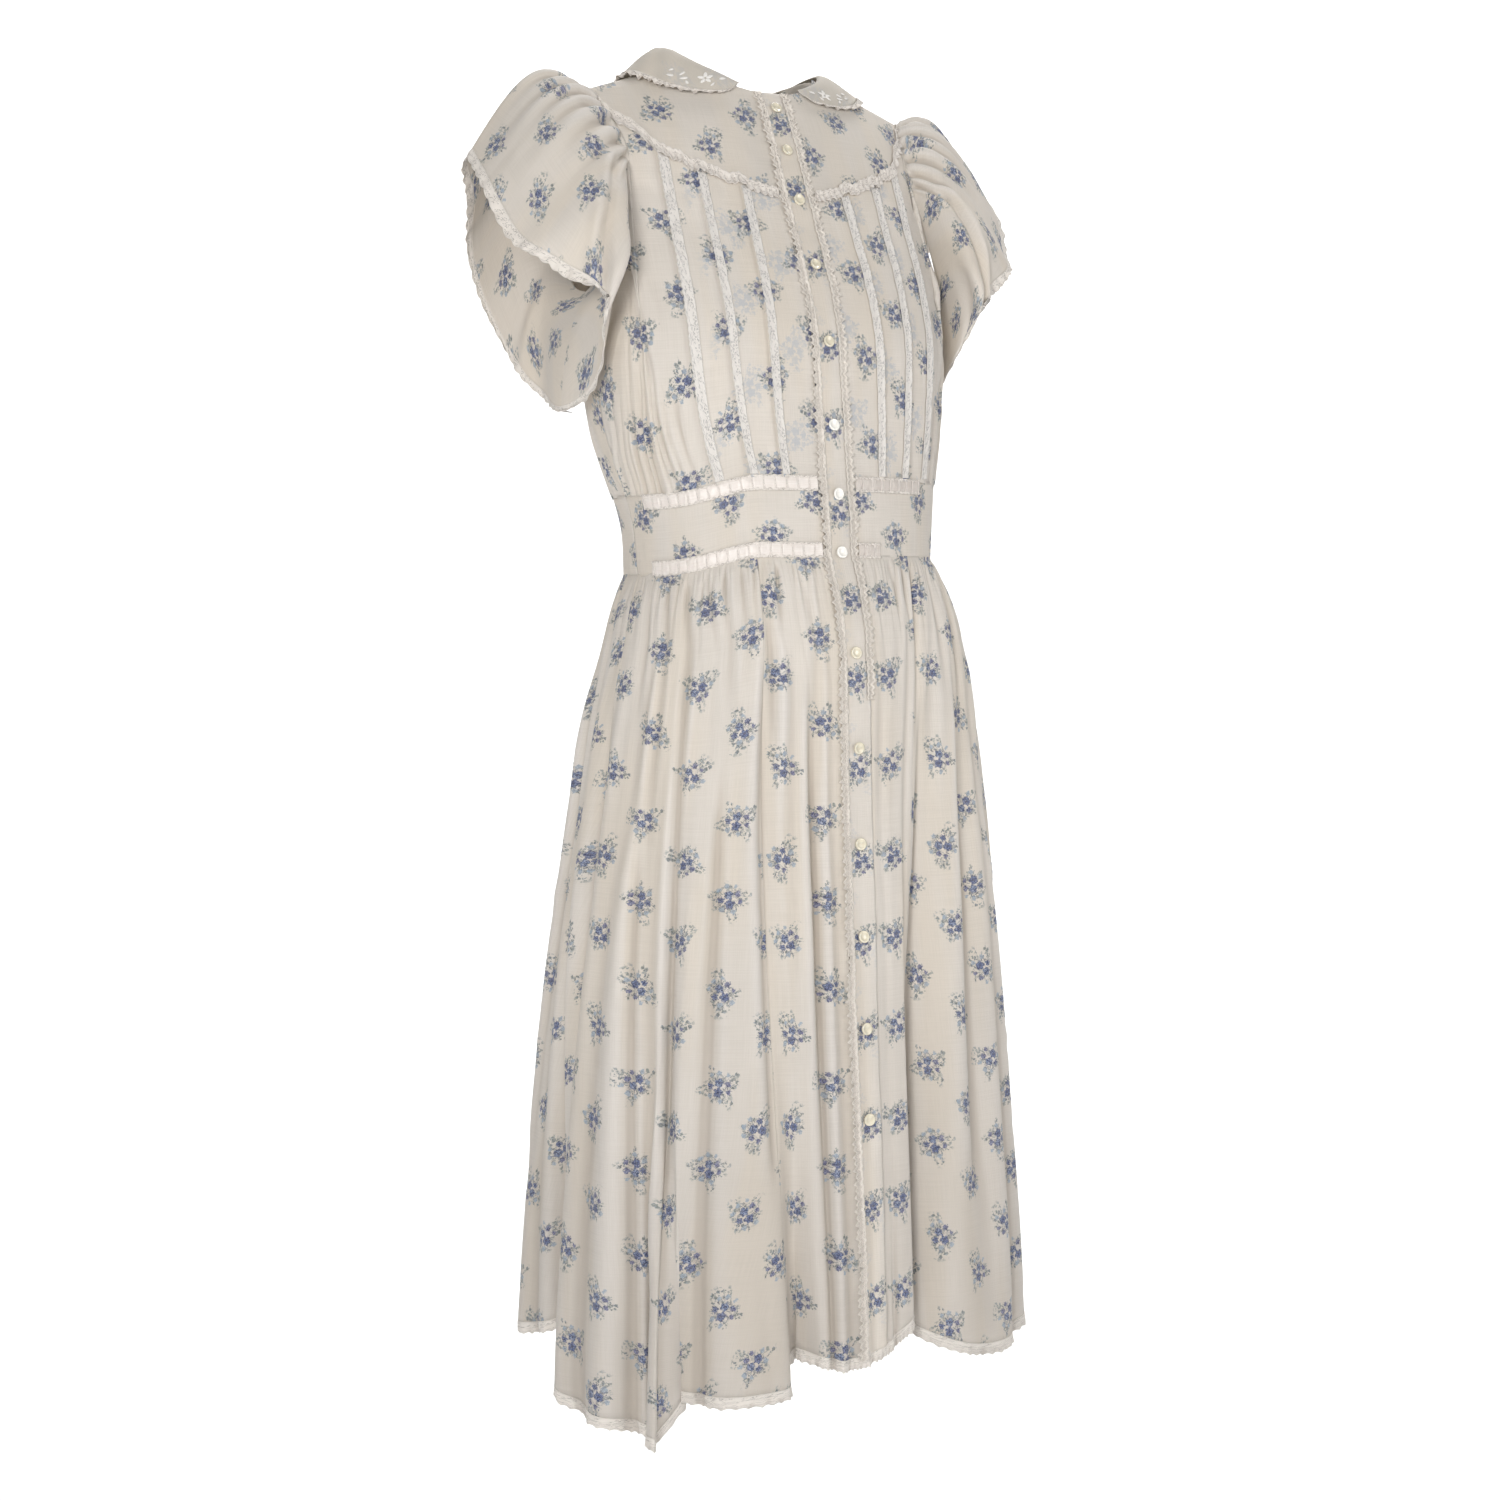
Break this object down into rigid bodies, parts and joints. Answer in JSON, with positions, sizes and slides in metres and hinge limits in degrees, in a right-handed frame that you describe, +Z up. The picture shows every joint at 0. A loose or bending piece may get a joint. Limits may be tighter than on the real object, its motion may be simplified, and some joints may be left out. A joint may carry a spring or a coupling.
{
  "type": "prairie dress",
  "caption": "Worn prairie dress shell: yoke bodice with tucks and flutter sleeves, round collar, waistband and gathered midi skirt, open at neck, sleeves and hem.",
  "frame": {"origin": "midway between the neck ends of the two shoulder seams, where the wearer's shoulders hold the dress", "axes": "+Z up, the front faces -Y, the wearer's left is +X"},
  "size_m": [0.5312, 0.3538, 1.1799],
  "materials": {
    "printed_voile": "sheer cream cotton voile with small blue posies",
    "collar_voile": "plain cream voile, embroidered corner",
    "cotton_lace": "narrow scalloped cotton lace",
    "satin_ribbon": "satin ribbon under lace bars",
    "pearl_button": "pearly"
  },
  "bodies": {
    "root": {"back": "printed_voile", "button_01": "pearl_button", "button_02": "pearl_button", "button_03": "pearl_button", "button_04": "pearl_button", "button_05": "pearl_button", "button_06": "pearl_button", "button_07": "pearl_button", "button_08": "pearl_button", "button_09": "pearl_button", "button_10": "pearl_button", "button_11": "pearl_button", "button_12": "pearl_button", "button_13": "pearl_button", "button_14": "pearl_button", "collar_lace_left": "cotton_lace", "collar_lace_right": "cotton_lace", "collar_left": "collar_voile", "collar_right": "collar_voile", "front_left": "printed_voile", "front_right": "printed_voile", "hem_lace": "cotton_lace", "placket": "printed_voile", "placket_lace_left": "cotton_lace", "placket_lace_right": "cotton_lace", "ribbon_lower_left": "satin_ribbon", "ribbon_lower_right": "satin_ribbon", "ribbon_upper_left": "satin_ribbon", "ribbon_upper_right": "satin_ribbon", "skirt_back": "printed_voile", "skirt_front_left": "printed_voile", "skirt_front_right": "printed_voile", "skirt_side_left": "printed_voile", "skirt_side_right": "printed_voile", "sleeve_lace_left": "cotton_lace", "sleeve_lace_right": "cotton_lace", "sleeve_left": "printed_voile", "sleeve_right": "printed_voile", "tuck_lace_left_1": "cotton_lace", "tuck_lace_left_2": "cotton_lace", "tuck_lace_left_3": "cotton_lace", "tuck_lace_right_1": "cotton_lace", "tuck_lace_right_2": "cotton_lace", "tuck_lace_right_3": "cotton_lace", "waistband_back": "printed_voile", "waistband_front_left": "printed_voile", "waistband_front_right": "printed_voile", "yoke_lace_left": "cotton_lace", "yoke_lace_right": "cotton_lace", "yoke_left": "printed_voile", "yoke_right": "printed_voile"}
  },
  "joints": []
}
